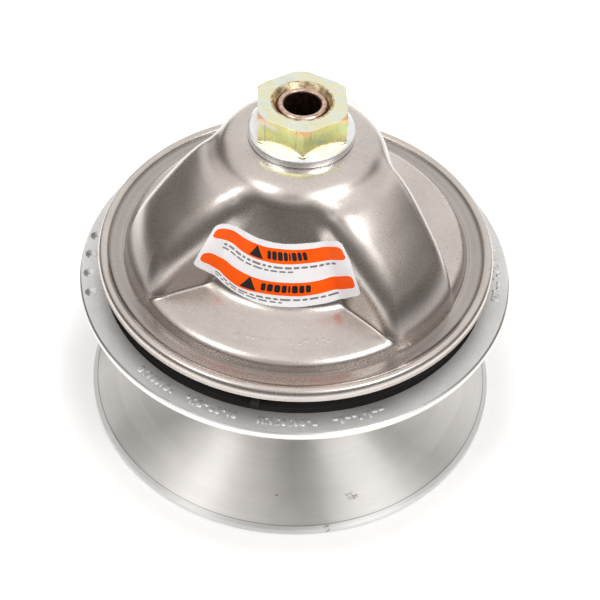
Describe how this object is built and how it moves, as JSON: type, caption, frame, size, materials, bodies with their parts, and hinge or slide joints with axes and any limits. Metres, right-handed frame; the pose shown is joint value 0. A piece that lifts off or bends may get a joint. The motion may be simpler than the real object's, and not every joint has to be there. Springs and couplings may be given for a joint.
{
  "type": "centrifugal drive clutch",
  "caption": "Drive pulley of a variable belt drive: two cone flanges on a hollow tapered shaft, block weights in a pressed three-channel cup, hex nut on top.",
  "frame": {"origin": "centre of the lower flange's bottom rim, on the shaft axis", "axes": "+Z along the shaft axis towards the nut, the label faces -Y"},
  "size_m": [0.206, 0.206, 0.1774],
  "materials": {
    "machined_aluminium": "turned",
    "cast_aluminium": "satin",
    "shaft_steel": "ground",
    "bushing_bronze": "satin",
    "plain_steel": "satin",
    "spring_steel": "satin",
    "pressed_steel": "satin",
    "zinc_plate": "satin",
    "yellow_plate": "satin",
    "label_film": "satin",
    "ramp_plastic": "satin",
    "shoe_plastic": "satin",
    "block_metal": "satin"
  },
  "bodies": {
    "fixed": {"fixed_flange": "machined_aluminium", "main_shaft": "shaft_steel", "spring_seat_ring": "plain_steel", "seat_circlip": "spring_steel", "drive_spring": "spring_steel", "governor_cover": "pressed_steel", "cover_backing_plate": "plain_steel", "ramp_1": "ramp_plastic", "ramp_2": "ramp_plastic", "ramp_3": "ramp_plastic", "top_washer": "zinc_plate", "top_nut": "yellow_plate", "caution_label": "label_film"},
    "sliding": {"sliding_flange": "cast_aluminium", "lower_bushing": "bushing_bronze", "upper_bushing": "bushing_bronze", "spring_cup": "plain_steel", "spring_cup_screws": "plain_steel"},
    "block_1": {"weight_block_1": "block_metal", "top_shoe_1": "shoe_plastic", "guide_shoe_1": "shoe_plastic", "side_shoes_1": "shoe_plastic", "block_pins_1": "plain_steel"},
    "block_2": {"weight_block_2": "block_metal", "top_shoe_2": "shoe_plastic", "guide_shoe_2": "shoe_plastic", "side_shoes_2": "shoe_plastic", "block_pins_2": "plain_steel"},
    "block_3": {"weight_block_3": "block_metal", "top_shoe_3": "shoe_plastic", "guide_shoe_3": "shoe_plastic", "side_shoes_3": "shoe_plastic", "block_pins_3": "plain_steel"}
  },
  "joints": [
    {"name": "sheave_shift", "type": "slide", "parent": "fixed", "child": "sliding", "axis": [0, 0, -1], "range_m": [0, 0.032], "stiffness_N_per_m": 15000, "springref_m": -0.02, "deforming": ["drive_spring"]},
    {"name": "weight_slide_1", "type": "slide", "parent": "sliding", "child": "block_1", "axis": [0.766, -0.6428, 0], "range_m": [0, 0.0306]},
    {"name": "weight_slide_2", "type": "slide", "parent": "sliding", "child": "block_2", "axis": [-0.9397, -0.342, 0], "range_m": [0, 0.0306]},
    {"name": "weight_slide_3", "type": "slide", "parent": "sliding", "child": "block_3", "axis": [0.1736, 0.9848, 0], "range_m": [0, 0.0306]}
  ],
  "couplings": [
    {"joint": "weight_slide_1", "follows": "sheave_shift", "ratio": 0.95238},
    {"joint": "weight_slide_2", "follows": "sheave_shift", "ratio": 0.95238},
    {"joint": "weight_slide_3", "follows": "sheave_shift", "ratio": 0.95238}
  ]
}
